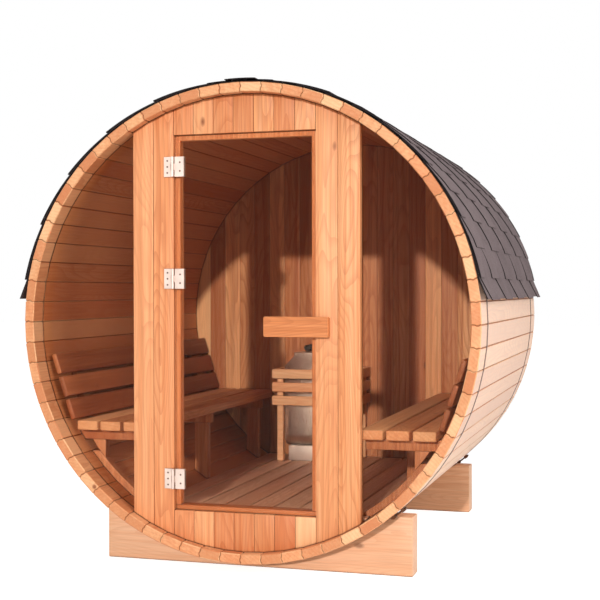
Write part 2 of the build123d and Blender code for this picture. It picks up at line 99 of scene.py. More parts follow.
class NodeBench:
    """A short hand for building one material's nodes."""

    def __init__(self, name: str) -> None:
        """Start an empty material with its output and main shader.

        Args:
            name: The material's name.
        """
        self.material = bpy.data.materials.new(name)
        self.material.use_nodes = True
        self.tree = self.material.node_tree
        self.tree.nodes.clear()
        self.output = self.add("ShaderNodeOutputMaterial")
        self.shader = self.add("ShaderNodeBsdfPrincipled")
        self.join(self.shader.outputs["BSDF"], self.output.inputs["Surface"])

    def add(self, kind: str, **settings: object) -> bpy.types.Node:
        """Add a node and set its properties.

        Args:
            kind: The node's type name.
            **settings: Properties of the node.

        Returns:
            The new node.
        """
        node = self.tree.nodes.new(kind)
        for key, value in settings.items():
            setattr(node, key, value)
        return node

    def join(self, start: Socket, end: Socket) -> None:
        """Link an output to an input."""
        self.tree.links.new(start, end)

    def feed(self, socket: Socket, value: object) -> None:
        """Link an output to a socket, or set the socket to a constant.

        Args:
            socket: The input to fill.
            value: An output socket, a number or a tuple.
        """
        if isinstance(value, Socket):
            self.join(value, socket)
        else:
            socket.default_value = value

    def math(self, operation: str, first: object, second: object = 0.0) -> Socket:
        """A math node with one or two inputs.

        Args:
            operation: The operation's name.
            first: The first value.
            second: The second value.

        Returns:
            The result.
        """
        node = self.add("ShaderNodeMath", operation=operation)
        self.feed(node.inputs[0], first)
        self.feed(node.inputs[1], second)
        return node.outputs[0]

    def vector(self, operation: str, first: object, second: object) -> Socket:
        """A vector math node.

        Args:
            operation: The operation's name.
            first: The first vector.
            second: The second vector.

        Returns:
            The resulting vector.
        """
        node = self.add("ShaderNodeVectorMath", operation=operation)
        self.feed(node.inputs[0], first)
        self.feed(node.inputs[1], second)
        return node.outputs[0]

    def length(self, vector: Socket) -> Socket:
        """The length of a vector.

        Args:
            vector: The vector.

        Returns:
            Its length.
        """
        node = self.add("ShaderNodeVectorMath", operation="LENGTH")
        self.join(vector, node.inputs[0])
        return node.outputs["Value"]

    def dot(self, first: Socket, second: object) -> Socket:
        """The dot product of two vectors.

        Args:
            first: The first vector.
            second: The second vector.

        Returns:
            The product.
        """
        node = self.add("ShaderNodeVectorMath", operation="DOT_PRODUCT")
        self.join(first, node.inputs[0])
        self.feed(node.inputs[1], second)
        return node.outputs["Value"]

    def noise(self, place: Socket, scale: float, detail: float = 2.0) -> Socket:
        """A noise value at a place.

        Args:
            place: The coordinates.
            scale: How fine the noise is.
            detail: Its octaves.

        Returns:
            The noise from 0 to 1.
        """
        node = self.add("ShaderNodeTexNoise")
        self.join(place, node.inputs["Vector"])
        node.inputs["Scale"].default_value = scale
        node.inputs["Detail"].default_value = detail
        return node.outputs["Fac"]

    def span(self, value: object, low: float, high: float, to_low: float, to_high: float) -> Socket:
        """Map a range of values to another, clamped.

        Args:
            value: The value to map.
            low: The range's start.
            high: The range's end.
            to_low: The result at the start.
            to_high: The result at the end.

        Returns:
            The mapped value.
        """
        node = self.add("ShaderNodeMapRange")
        self.feed(node.inputs["Value"], value)
        node.inputs["From Min"].default_value = low
        node.inputs["From Max"].default_value = high
        node.inputs["To Min"].default_value = to_low
        node.inputs["To Max"].default_value = to_high
        return node.outputs["Result"]

    def mix(self, share: object, first: object, second: object, blend: str = "MIX") -> Socket:
        """Mix two colours.

        Args:
            share: How much of the second.
            first: The first colour.
            second: The second colour.
            blend: The blend mode.

        Returns:
            The mixed colour.
        """
        node = self.add("ShaderNodeMix", data_type="RGBA", blend_type=blend)
        self.feed(node.inputs["Factor"], share)
        self.feed(node.inputs["A"], first)
        self.feed(node.inputs["B"], second)
        return node.outputs["Result"]

    def from_axis(self, place: Socket) -> Socket:
        """The way out from the barrel's axis to a place."""
        centred = self.vector("SUBTRACT", place, (0.0, 0.0, AXIS_HEIGHT))
        return self.vector("MULTIPLY", centred, (1.0, 0.0, 1.0))

    def facing_out(self, outward: Socket) -> Socket:
        """1 where a face points away from the barrel's axis and -1 where it points to it."""
        normal = self.add("ShaderNodeTexCoord").outputs["Normal"]
        return self.dot(self.vector("NORMALIZE", outward, (0.0, 0.0, 0.0)), normal)

    def bump(self, height: Socket, strength: float, distance: float) -> None:
        """Bump the main shader's normal by a height.

        Args:
            height: The relief from 0 to 1.
            strength: How much of it shows.
            distance: Its full height in metres.
        """
        node = self.add("ShaderNodeBump")
        node.inputs["Strength"].default_value = strength
        node.inputs["Distance"].default_value = distance
        self.join(height, node.inputs["Height"])
        self.join(node.outputs["Normal"], self.shader.inputs["Normal"])


@dataclass(frozen=True)
class Timber:
    """Planed softwood whose growth rings run through each board as a solid."""

    name: str
    grain: Grain
    light: Colour
    main: Colour
    dark: Colour
    roughness: float = 0.5
    board_spread: float = 0.6
    knots: float = 0.8
    figure: float = 0.5
    painted_outer_light: Colour | None = None
    ring_scale: float = 24.0
    ring_contrast: float = 0.7
    ring_stretch: float = 0.07
    fibre_scale: float = 420.0
    fibre_stretch: float = 0.022
    streak_scale: float = 60.0
    cloud_scale: float = 7.0
    flame_scale: float = 7.0
    flame_stretch: float = 0.15
    flame_lines: float = 24.0
    knot_scale: float = 8.0
    knot_stretch: float = 0.5
    end_fading: float = 0.7
    board_paces: tuple[Span, ...] = ((1.37, 0.16), (2.91, 0.23), (1.93, 0.19))
    hue_pace: float = 17.3
    rosy: Colour = (1.0, 0.9, 0.82, 1.0)
    golden: Colour = (1.0, 1.04, 1.0, 1.0)
    joint_depth: float = 0.009

    def shifted(self, bench: NodeBench, place: Socket, board: Socket) -> Socket:
        """Coordinates that start elsewhere in the tree for each board.

        Args:
            bench: The material's nodes.
            place: The coordinates.
            board: The board's own number from 0 to 1.

        Returns:
            The moved coordinates.
        """
        shift = bench.add("ShaderNodeCombineXYZ")
        for axis, (pace, start) in enumerate(self.board_paces):
            bench.join(bench.math("ADD", bench.math("MULTIPLY", board, pace), start), shift.inputs[axis])
        return bench.vector("ADD", place, shift.outputs[0])

    def stretched(self, bench: NodeBench, place: Socket, share: float) -> Socket:
        """Coordinates in which a pattern is drawn out along the grain.

        Args:
            bench: The material's nodes.
            place: The coordinates.
            share: How fast the pattern runs along the grain, where 1 is as fast as across.

        Returns:
            The scaled coordinates.
        """
        scale = [1.0, 1.0, 1.0]
        scale[self.grain.value] = share
        return bench.vector("MULTIPLY", place, tuple(scale))

    def rings(self, bench: NodeBench, slow: Socket) -> Socket:
        """Wavering growth rings about the grain.

        Args:
            bench: The material's nodes.
            slow: The coordinates, drawn out along the grain.

        Returns:
            The darkness of the rings from 0 to 1.
        """
        rings = bench.add("ShaderNodeTexWave", wave_type="RINGS", wave_profile="SAW")
        rings.rings_direction = "XYZ"[self.grain.value]
        bench.join(slow, rings.inputs["Vector"])
        for socket, value in (
            ("Scale", self.ring_scale),
            ("Distortion", 7.0),
            ("Detail", 2.0),
            ("Detail Scale", 0.5),
        ):
            rings.inputs[socket].default_value = value
        return bench.math("POWER", rings.outputs["Fac"], 1.6)

    def end_grain(self, bench: NodeBench) -> Socket:
        """Find the sawn ends of the boards.

        Args:
            bench: The material's nodes.

        Returns:
            1 on the ends and 0 on the sides.
        """
        along = [0.0, 0.0, 0.0]
        along[self.grain.value] = 1.0
        normal = bench.add("ShaderNodeTexCoord").outputs["Normal"]
        return bench.span(bench.math("ABSOLUTE", bench.dot(normal, tuple(along))), 0.6, 0.8, 0.0, 1.0)

    def flamed(self, bench: NodeBench, moved: Socket, fine: Socket, colour: Socket) -> Socket:
        """Draw the pointed arches of flat-sawn boards.

        Args:
            bench: The material's nodes.
            moved: The board's coordinates.
            fine: How strongly the figure shows on this face.
            colour: The wood's colour.

        Returns:
            The new colour.
        """
        flame = bench.noise(self.stretched(bench, moved, self.flame_stretch), self.flame_scale, 1.0)
        steps = bench.math("FRACT", bench.math("MULTIPLY", flame, self.flame_lines))
        arches = bench.span(steps, 0.0, 0.5, 1.0, 0.0)
        flat_sawn = bench.math("MULTIPLY", arches, bench.math("MULTIPLY", self.figure, fine))
        return bench.mix(flat_sawn, colour, self.dark)

    def board_tones(self, bench: NodeBench, board: Socket, colour: Socket) -> Socket:
        """Pale some boards and deepen others.

        Args:
            bench: The material's nodes.
            board: The board's own number from 0 to 1.
            colour: The wood's colour.

        Returns:
            The new colour.
        """
        pale = bench.math("MULTIPLY", bench.span(board, 0.5, 1.0, 0.0, 1.0), self.board_spread)
        deep = bench.math("MULTIPLY", bench.span(board, 0.0, 0.45, 1.0, 0.0), self.board_spread)
        return bench.mix(deep, bench.mix(pale, colour, self.light), self.dark)

    def board_hues(self, bench: NodeBench, board: Socket, colour: Socket) -> Socket:
        """Turn some boards towards rose and others towards gold.

        Args:
            bench: The material's nodes.
            board: The board's own number from 0 to 1.
            colour: The wood's colour.

        Returns:
            The new colour.
        """
        other = bench.math("FRACT", bench.math("MULTIPLY", board, self.hue_pace))
        return bench.mix(1.0, colour, bench.mix(other, self.rosy, self.golden), "MULTIPLY")

    def fibre_shade(self, bench: NodeBench, fibres: Socket, colour: Socket) -> Socket:
        """Lighten and darken the wood along its fibres.

        Args:
            bench: The material's nodes.
            fibres: The fibres' pattern.
            colour: The wood's colour.

        Returns:
            The new colour.
        """
        shade = bench.span(fibres, 0.3, 0.75, 0.86, 1.06)
        grey = bench.add("ShaderNodeCombineColor")
        for channel in range(3):
            bench.join(shade, grey.inputs[channel])
        return bench.mix(1.0, colour, grey.outputs[0], "MULTIPLY")

    def knotted(self, bench: NodeBench, moved: Socket, colour: Socket) -> Socket:
        """Set a dark knot here and there.

        Args:
            bench: The material's nodes.
            moved: The board's coordinates.
            colour: The wood's colour.

        Returns:
            The new colour.
        """
        knot = bench.add("ShaderNodeTexVoronoi")
        bench.join(self.stretched(bench, moved, self.knot_stretch), knot.inputs["Vector"])
        knot.inputs["Scale"].default_value = self.knot_scale
        near = bench.span(knot.outputs["Distance"], 0.04, 0.1, 1.0, 0.0)
        split = bench.add("ShaderNodeSeparateColor")
        bench.join(knot.outputs["Color"], split.inputs[0])
        chosen = bench.math("GREATER_THAN", split.outputs[0], self.knots)
        return bench.mix(bench.math("MULTIPLY", near, chosen), colour, dimmed(self.dark, 0.45))

    def lit_outside_shaded_inside(self, bench: NodeBench, place: Socket, colour: Socket) -> Socket:
        """Paint light on the faces that point away from the barrel's axis, paling them, and paint shade on
        those that point to it, inside the barrel.

        Args:
            bench: The material's nodes.
            place: The coordinates.
            colour: The wood's colour.

        Returns:
            The new colour.
        """
        facing = bench.facing_out(bench.from_axis(place))
        # painted light: faces that point out from the axis are paled towards the outer colour
        colour = bench.mix(bench.span(facing, 0.7, 0.95, 0.0, 0.5), colour, self.painted_outer_light)
        # painted shade: faces that point in to the axis, inside the barrel, are deepened towards the dark
        # colour
        return bench.mix(bench.span(facing, -0.95, -0.7, 0.42, 0.0), colour, self.dark)

    def joint_shade(self, bench: NodeBench, colour: Socket) -> Socket:
        """Paint shade into the grooves between boards and into other close corners, where an occlusion test
        finds near surfaces.

        Args:
            bench: The material's nodes.
            colour: The wood's colour.

        Returns:
            The new colour.
        """
        # painted shade: ambient occlusion darkens the wood in grooves and close corners
        groove = bench.add("ShaderNodeAmbientOcclusion", samples=6)
        groove.inputs["Distance"].default_value = self.joint_depth
        share = bench.span(groove.outputs["AO"], 0.35, 0.85, 0.92, 0.0)
        return bench.mix(share, colour, dimmed(self.dark, 0.16))

    def make(self) -> Material:
        """Build the material.

        Returns:
            The finished material.
        """
        bench = NodeBench(self.name)
        place = bench.add("ShaderNodeTexCoord").outputs["Object"]
        board = bench.add("ShaderNodeNewGeometry").outputs["Random Per Island"]
        moved = self.shifted(bench, place, board)
        slow = self.stretched(bench, moved, self.ring_stretch)
        fibre_place = self.stretched(bench, moved, self.fibre_stretch)
        fibres = bench.noise(fibre_place, self.fibre_scale, 3.0)
        streaks = bench.noise(fibre_place, self.streak_scale, 3.0)
        cloud = bench.noise(slow, self.cloud_scale, 2.0)
        end = self.end_grain(bench)
        fine = bench.math("SUBTRACT", 1.0, bench.math("MULTIPLY", end, self.end_fading))
        ring = bench.math("MULTIPLY", self.rings(bench, slow), fine)
        colour = bench.mix(bench.math("MULTIPLY", ring, self.ring_contrast), self.main, self.dark)
        colour = bench.mix(bench.span(streaks, 0.42, 0.72, 0.0, 0.65), colour, self.light)
        colour = self.flamed(bench, moved, fine, colour)
        colour = bench.mix(bench.span(cloud, 0.35, 0.7, 0.0, 0.35), colour, self.dark)
        colour = self.board_tones(bench, board, colour)
        colour = self.fibre_shade(bench, fibres, colour)
        colour = self.knotted(bench, moved, colour)
        end_ring = bench.span(ring, 0.05, 0.35, 0.05, 0.3)
        colour = bench.mix(bench.math("MULTIPLY", end, end_ring), colour, self.dark)
        colour = self.board_hues(bench, board, colour)
        # painted light outside and painted shade inside the barrel
        if self.painted_outer_light:
            colour = self.lit_outside_shaded_inside(bench, place, colour)
        bench.join(self.joint_shade(bench, colour), bench.shader.inputs["Base Color"])
        sheen = bench.span(fibres, 0.3, 0.7, self.roughness - 0.06, self.roughness + 0.1)
        bench.join(sheen, bench.shader.inputs["Roughness"])
        bench.shader.inputs["Specular IOR Level"].default_value = 0.35
        height = bench.math("ADD", bench.math("MULTIPLY", fibres, 0.6), bench.math("MULTIPLY", ring, 0.3))
        bench.bump(height, 0.22, 0.0006)
        return bench.material


@dataclass(frozen=True)
class Granules:
    """Mineral granules on bitumen felt, whose cut edges and underside stay black."""

    name: str
    main: Colour
    pale: Colour
    deep: Colour
    black: Colour
    grit_scale: float = 520.0
    cloud_scale: float = 9.0
    felt_reach: float = 0.9036
    roughness: float = 0.92

    def make(self) -> Material:
        """Build the material.

        Returns:
            The finished material.
        """
        bench = NodeBench(self.name)
        place = bench.add("ShaderNodeTexCoord").outputs["Object"]
        normal = bench.add("ShaderNodeTexCoord").outputs["Normal"]
        tab = bench.add("ShaderNodeNewGeometry").outputs["Random Per Island"]
        grit = bench.noise(place, self.grit_scale, 2.0)
        cloud = bench.noise(place, self.cloud_scale, 4.0)
        colour = bench.mix(bench.span(grit, 0.46, 0.66, 0.0, 0.75), self.main, self.pale)
        colour = bench.mix(bench.span(grit, 0.44, 0.3, 0.0, 0.8), colour, self.deep)
        colour = bench.mix(bench.span(cloud, 0.4, 0.7, 0.0, 0.4), colour, self.deep)
        colour = bench.mix(bench.span(tab, 0.0, 1.0, 0.0, 0.3), colour, self.pale)
        outward = bench.from_axis(place)
        felt = bench.math("LESS_THAN", bench.length(outward), self.felt_reach)
        side = bench.math("ABSOLUTE", bench.dot(normal, (0.0, 1.0, 0.0)))
        edge = bench.math("LESS_THAN", bench.facing_out(outward), 0.6)
        cut = bench.math("MULTIPLY", edge, bench.span(side, 0.1, 0.3, 0.35, 1.0))
        colour = bench.mix(bench.math("MAXIMUM", felt, cut), colour, self.black)
        bench.join(colour, bench.shader.inputs["Base Color"])
        bench.shader.inputs["Roughness"].default_value = self.roughness
        bench.shader.inputs["Specular IOR Level"].default_value = 0.2
        bench.bump(grit, 0.7, 0.0009)
        return bench.material


@dataclass(frozen=True)
class Steel:
    """Brushed or satin steel."""

    name: str
    colour: Colour
    stretch: tuple[float, float, float] = (1.0, 1.0, 1.0)
    roughness: float = 0.3
    dull: Colour = tone(120, 108, 100)
    line_scale: float = 900.0
    cloud_scale: float = 18.0

    def make(self) -> Material:
        """Build the material.

        Returns:
            The finished material.
        """
        bench = NodeBench(self.name)
        place = bench.add("ShaderNodeTexCoord").outputs["Object"]
        lines = bench.noise(bench.vector("MULTIPLY", place, self.stretch), self.line_scale, 2.0)
        cloud = bench.noise(place, self.cloud_scale, 2.0)
        colour = bench.mix(bench.span(cloud, 0.35, 0.7, 0.0, 0.25), self.colour, self.dull)
        bench.join(colour, bench.shader.inputs["Base Color"])
        bench.shader.inputs["Metallic"].default_value = 1.0
        sheen = bench.span(lines, 0.3, 0.7, self.roughness - 0.07, self.roughness + 0.1)
        bench.join(sheen, bench.shader.inputs["Roughness"])
        bench.bump(lines, 0.08, 0.0003)
        return bench.material


@dataclass(frozen=True)
class Rock:
    """Dark broken stone."""

    name: str
    colour: Colour
    pale: Colour
    grit_scale: float = 140.0
    roughness: float = 0.85

    def make(self) -> Material:
        """Build the material.

        Returns:
            The finished material.
        """
        bench = NodeBench(self.name)
        place = bench.add("ShaderNodeTexCoord").outputs["Object"]
        stone = bench.add("ShaderNodeNewGeometry").outputs["Random Per Island"]
        grit = bench.noise(place, self.grit_scale, 5.0)
        colour = bench.mix(bench.span(grit, 0.45, 0.7, 0.0, 0.6), self.colour, self.pale)
        colour = bench.mix(bench.span(stone, 0.0, 1.0, 0.0, 0.35), colour, self.pale)
        bench.join(colour, bench.shader.inputs["Base Color"])
        bench.shader.inputs["Roughness"].default_value = self.roughness
        bench.bump(grit, 0.6, 0.002)
        return bench.material


@dataclass(frozen=True)
class TintedGlass:
    """Clear bronze glass that lets soft light through."""

    name: str
    tint: Colour
    soft_tint: Colour
    bending: float = 1.15

    def make(self) -> Material:
        """Build the material.

        Returns:
            The finished material.
        """
        bench = NodeBench(self.name)
        bench.shader.inputs["Base Color"].default_value = self.tint
        bench.shader.inputs["Roughness"].default_value = 0.0
        bench.shader.inputs["IOR"].default_value = self.bending
        bench.shader.inputs["Transmission Weight"].default_value = 1.0
        rays = bench.add("ShaderNodeLightPath")
        soft = bench.math("MAXIMUM", rays.outputs["Is Shadow Ray"], rays.outputs["Is Diffuse Ray"])
        through = bench.add("ShaderNodeBsdfTransparent")
        through.inputs["Color"].default_value = self.soft_tint
        blend = bench.add("ShaderNodeMixShader")
        bench.join(soft, blend.inputs[0])
        bench.join(bench.shader.outputs["BSDF"], blend.inputs[1])
        bench.join(through.outputs[0], blend.inputs[2])
        bench.join(blend.outputs[0], bench.output.inputs["Surface"])
        return bench.material


def seen_directly(tree: bpy.types.NodeTree) -> Socket:
    """Tell the rays that show a thing from those that carry its light.

    Args:
        tree: The nodes of a material or a world.

    Returns:
        1 for rays from the camera, through glass or off polished metal, and 0 for the rest.
    """
    rays = tree.nodes.new("ShaderNodeLightPath")
    seen = rays.outputs["Is Camera Ray"]
    for kind in ("Is Transmission Ray", "Is Glossy Ray"):
        either = tree.nodes.new("ShaderNodeMath")
        either.operation = "MAXIMUM"
        tree.links.new(seen, either.inputs[0])
        tree.links.new(rays.outputs[kind], either.inputs[1])
        seen = either.outputs[0]
    return seen


def deselect() -> None:
    """Leave object mode and select nothing."""
    if bpy.context.object and bpy.context.object.mode != "OBJECT":
        bpy.ops.object.mode_set(mode="OBJECT")
    bpy.ops.object.select_all(action="DESELECT")


def pick(piece: Piece) -> None:
    """Make one object the only selected and the active one.

    Args:
        piece: The object.
    """
    deselect()
    piece.select_set(True)
    bpy.context.view_layer.objects.active = piece


def dress(piece: Piece, material: Material) -> None:
    """Give an object one material."""
    piece.data.materials.clear()
    piece.data.materials.append(material)


def settle(piece: Piece) -> None:
    """Move an object's place into its mesh, so that it stands at the origin."""
    pick(piece)
    bpy.ops.object.transform_apply(location=True, rotation=True, scale=True)


def apply_bevel(piece: Piece, width: float, segments: int = 2, angle: float = 0.6) -> None:
    """Round an object's sharp edges.

    Args:
        piece: The object.
        width: The width of the rounding in metres.
        segments: Its steps.
        angle: The least turn of an edge that is rounded, in radians.
    """
    pick(piece)
    modifier = piece.modifiers.new("rounding", "BEVEL")
    modifier.width = width
    modifier.segments = segments
    modifier.limit_method = "ANGLE"
    modifier.angle_limit = angle
    modifier.use_clamp_overlap = True
    bpy.ops.object.modifier_apply(modifier=modifier.name)


def softened(node: str, name: str, width: float, segments: int = 2) -> Piece:
    """Take a CAD node's shape, join its triangles into faces and ease its edges.

    Args:
        node: The CAD node.
        name: The new piece's name.
        width: The width of the eased edge in metres.
        segments: The steps of the edge.

    Returns:
        The new piece.
    """
    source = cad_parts[node]
    piece = bpy.data.objects.new(name, source.data.copy())
    bpy.context.scene.collection.objects.link(piece)
    piece.data.materials.clear()
    pick(piece)
    bpy.ops.object.mode_set(mode="EDIT")
    bpy.ops.mesh.select_all(action="SELECT")
    bpy.ops.mesh.remove_doubles(threshold=MERGE_DISTANCE)
    bpy.ops.mesh.dissolve_limited(angle_limit=FLAT_ANGLE)
    bpy.ops.mesh.normals_make_consistent(inside=False)
    bpy.ops.object.mode_set(mode="OBJECT")
    if width > 0:
        apply_bevel(piece, width, segments)
    pick(piece)
    bpy.ops.object.shade_smooth_by_angle(angle=SMOOTH_ANGLE)
    return piece


def joined(pieces: list[Piece], name: str) -> Piece:
    """Join several objects into one.

    Args:
        pieces: The objects.
        name: The joined object's name.

    Returns:
        The joined object.
    """
    deselect()
    for piece in pieces:
        piece.select_set(True)
    bpy.context.view_layer.objects.active = pieces[0]
    bpy.ops.object.join()
    whole = bpy.context.view_layer.objects.active
    whole.name = name
    whole.data.name = name
    return whole


def mirrored_copy(piece: Piece) -> Piece:
    """Copy an object to the other side of the barrel, with a mesh of its own and its faces outwards.

    Args:
        piece: The object to copy.

    Returns:
        The copy.
    """
    twin = bpy.data.objects.new(piece.name, piece.data.copy())
    bpy.context.scene.collection.objects.link(twin)
    twin.data.transform(Matrix.Scale(-1, 4, Vector((1, 0, 0))))
    twin.data.flip_normals()
    return twin


def finish_piece(piece: Piece, material: Material, body: str) -> None:
    """Dress a piece, put it on its body and report it.

    Args:
        piece: The piece.
        material: Its finish.
        body: The CAD body that it moves with.
    """
    dress(piece, material)
    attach(piece, body)
    LOG.info("%s: %d faces", piece.name, len(piece.data.polygons))


def take_over(piece: Piece, node: str, material: Material, body: str) -> None:
    """Let a piece stand for a CAD node, dressed and on the node's body."""
    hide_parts(node)
    finish_piece(piece, material, body)


@dataclass
class Barrel:
    """The barrel's own sizes, which the roof and the fittings follow."""

    length: float = 1.8
    staves: int = 68
    sectors: int = 12
    edge: float = 0.0032

    @property
    def front(self) -> float:
        """Where the front rim lies along Y."""
        return -self.length / 2

    def build(self, finish: Timber) -> None:
        """Ease and dress the staves.

        Args:
            finish: Their wood.
        """
        material = finish.make()
        for number in range(1, self.sectors + 1):
            node = f"staves_sector_{number:02d}"
            piece = softened(node, f"stave_boards_{number:02d}", self.edge, 1)
            take_over(piece, node, material, ROOM_BODY)


@dataclass
class ShingleRoof:
    """Rows of shingles with trapezoid tabs over black felt, with a flared eaves course and ridge caps."""

    barrel: Barrel
    rows: int = 12
    side_rows: int = 8
    edge_turn: float = math.radians(84.7)
    exposure: float = math.radians(7.13)
    overlap: float = math.radians(8.15)
    knee_turn: float = math.radians(79.41)
    flare: float = math.radians(15.0)
    flare_length: float = 0.0835
    felt_radius: float = 0.9019
    felt_thickness: float = 0.0011
    thickness: float = 0.0038
    starter_thickness: float = 0.004
    tab_pitch: float = 0.4
    tab_slant: float = 0.096
    slot_width: float = 0.008
    first_tabs: Span = (-0.215, -0.01)
    cap_half_turn: float = math.radians(3.8)
    cap_pitch: float = 0.15
    cap_thickness: float = 0.0032
    step: float = math.radians(1.0187)
    lean: float = 0.0003
    least_turn: float = 0.0005
    starter_inset: float = 0.001
    starter_shorter: float = 0.004
    felt_inset: float = 0.0015
    cap_gap: float = 0.003
    crown_build_up: float = 2.18
    cap_lean: float = 0.0001
    felt_lean: float = 0.00001
    weld: float = 0.00001
    smooth_angle: float = math.radians(20.0)

    def arc_strip(self, turns: Span, radii: Span, run: Span, thick: float) -> Piece:
        """A curved strip made by spinning an upright face about a shifted centre.

        Args:
            turns: The start and end angle from the top.
            radii: The inner radius at the start and at the end.
            run: The start and end along Y.
            thick: The strip's thickness.

        Returns:
            The strip.
        """
        sweep = turns[1] - turns[0]
        middle = (turns[0] + turns[1]) / 2
        drift = (radii[1] - radii[0]) / (2 * math.sin(sweep / 2))
        tangent = Vector((math.cos(middle), 0, -math.sin(middle)))
        centre = Vector((0, 0, AXIS_HEIGHT)) + tangent * drift
        deselect()
        bpy.ops.mesh.primitive_plane_add(size=1.0, location=(0, 0, 0), rotation=(0, math.pi / 2, 0))
        strip = bpy.context.object
        settle(strip)
        size = Matrix.Diagonal((1, run[1] - run[0], thick, 1))
        height = Matrix.Translation((0, (run[0] + run[1]) / 2, sum(radii) / 2 + thick / 2))
        strip.data.transform(Matrix.Translation(centre) @ Matrix.Rotation(turns[0], 4, "Y") @ height @ size)
        bpy.ops.object.mode_set(mode="EDIT")
        bpy.ops.mesh.select_all(action="SELECT")
        steps = max(2, round(abs(sweep) / self.step))
        bpy.ops.mesh.spin(steps=steps, angle=-sweep, center=centre, axis=(0, 1, 0))
        bpy.ops.mesh.select_all(action="SELECT")
        bpy.ops.mesh.remove_doubles(threshold=self.weld)
        bpy.ops.mesh.normals_make_consistent(inside=False)
        bpy.ops.object.mode_set(mode="OBJECT")
        return strip

    def flared(self, strip: Piece, shorter: float = 0.0) -> Piece:
        """Carry a strip's lower end on in a straight, flared lip.

        Args:
            strip: The strip, with its end at the knee.
            shorter: How far the lip stays back from the eaves.

        Returns:
            The strip.
        """
        lowest = min(strip.data.polygons, key=lambda face: face.center.z).index
        heading = self.knee_turn + math.pi / self.barrel.staves - self.flare
        way = Vector((math.cos(heading), 0, -math.sin(heading))) * (self.flare_length - shorter)
        pick(strip)
        bpy.ops.object.mode_set(mode="EDIT")
        bpy.ops.mesh.select_mode(type="FACE")
        bpy.ops.mesh.select_all(action="DESELECT")
        bpy.ops.object.mode_set(mode="OBJECT")
        strip.data.polygons[lowest].select = True
        bpy.ops.object.mode_set(mode="EDIT")
        bpy.ops.mesh.extrude_region_move(TRANSFORM_OT_translate={"value": tuple(way)})
        bpy.ops.mesh.select_all(action="SELECT")
        bpy.ops.mesh.normals_make_consistent(inside=False)
        bpy.ops.object.mode_set(mode="OBJECT")
        return strip

    def tapered(self, tab: Piece, middle: float, low: float) -> Piece:
        """Slant a tab's sides below the row above it and cut it off at the barrel's rims.

        Args:
            tab: The tab, as wide as its pitch.
            middle: The tab's middle along Y.
            low: The angle of its lower edge from the top.

        Returns:
            The tab.
        """
        shrink = 2 * self.tab_slant / self.tab_pitch
        for vertex in tab.data.vertices:
            place = vertex.co
            turn = math.atan2(place.x, place.z - AXIS_HEIGHT)
            shown = min(max((turn - low + self.exposure) / self.exposure, 0.0), 1.0)
            along = middle + (place.y - middle) * (1 - shrink * shown)
            place.y = min(max(along, self.barrel.front), -self.barrel.front)
        return tab

    def row_of_tabs(self, row: int) -> Piece:
        """One row of shingles on the right side, every second row half a tab on.

        Args:
            row: The row's number, 0 at the eaves.

        Returns:
            The row.
        """
        low = self.edge_turn - self.exposure * row
        high = max(low - self.exposure - self.overlap, self.least_turn)
        base = self.felt_radius + self.felt_thickness
        lift = self.thickness * (low - high) / self.exposure
        half = (self.tab_pitch - self.slot_width) / 2
        middle = self.barrel.front + self.first_tabs[row % 2]
        tabs = []
        while middle - half < -self.barrel.front:
            if middle + half > self.barrel.front + self.slot_width:
                run = (middle - half, middle + half)
                if row == 0:
                    radius = base + self.starter_thickness
                    turns = (high, self.knee_turn)
                    tab = self.arc_strip(turns, (radius, radius + 2 * self.lean), run, self.thickness)
                    self.flared(tab)
                else:
                    tab = self.arc_strip((high, low), (base, base + lift), run, self.thickness)
                tabs.append(self.tapered(tab, middle, low))
            middle += self.tab_pitch
        return joined(tabs, f"row_{row}")

    def starter(self) -> Piece:
        """The uncut strip under the eaves course.

        Returns:
            The strip.
        """
        base = self.felt_radius + self.felt_thickness
        run = (self.barrel.front + self.starter_inset, -self.barrel.front - self.starter_inset)
        high = self.edge_turn - self.exposure - self.overlap
        turns = (high, self.knee_turn)
        strip = self.arc_strip(turns, (base, base + self.lean), run, self.starter_thickness)
        return self.flared(strip, self.starter_shorter)

    def ridge_caps(self) -> Piece:
        """Caps along the top, laid end to end.

        Returns:
            The caps.
        """
        caps = []
        radius = self.felt_radius + self.felt_thickness + self.thickness * self.crown_build_up
        for number in range(math.ceil(self.barrel.length / self.cap_pitch)):
            start = self.barrel.front + number * self.cap_pitch
            stop = min(start + self.cap_pitch - self.cap_gap, -self.barrel.front)
            turns = (-self.cap_half_turn, self.cap_half_turn)
            radii = (radius, radius + self.cap_lean)
            caps.append(self.arc_strip(turns, radii, (start, stop), self.cap_thickness))
        return joined(caps, "ridge_caps")

    def felt(self) -> Piece:
        """The black felt that shows through the slots.

        Returns:
            The felt.
        """
        turns = (-self.knee_turn, self.knee_turn)
        run = (self.barrel.front + self.felt_inset, -self.barrel.front - self.felt_inset)
        radii = (self.felt_radius, self.felt_radius + self.felt_lean)
        return self.arc_strip(turns, radii, run, self.felt_thickness)

    def build(self, finish: Granules) -> None:
        """Lay the felt, the rows of both sides and the ridge caps.

        Args:
            finish: The shingles' surface.
        """
        material = finish.make()
        right = [self.row_of_tabs(row) for row in range(self.rows)] + [self.starter()]
        left = [mirrored_copy(row) for row in right]
        side = slice(0, self.side_rows)
        crown = slice(self.side_rows, self.rows)
        top = right[crown] + left[crown] + [self.ridge_caps(), self.felt()]
        pieces = (
            (joined(right[side] + right[-1:], "shingles_right"), "roof_right"),
            (joined(left[side] + left[-1:], "shingles_left"), "roof_left"),
            (joined(top, "shingles_crown"), "roof_crown"),
        )
        for piece, node in pieces:
            pick(piece)
            bpy.ops.object.shade_smooth_by_angle(angle=self.smooth_angle)
            take_over(piece, node, material, ROOM_BODY)


@dataclass
class Carpentry:
    """The sawn and planed timber pieces, each eased from its CAD solid."""

    finish: Timber
    nodes: tuple[str, ...]
    slot: str
    edge: float = 0.002
    body: str = ROOM_BODY

    def build(self) -> None:
        """Ease and dress every piece."""
        material = self.finish.make()
        for node in self.nodes:
            take_over(softened(node, f"{node}_boards", self.edge), node, material, self.body)


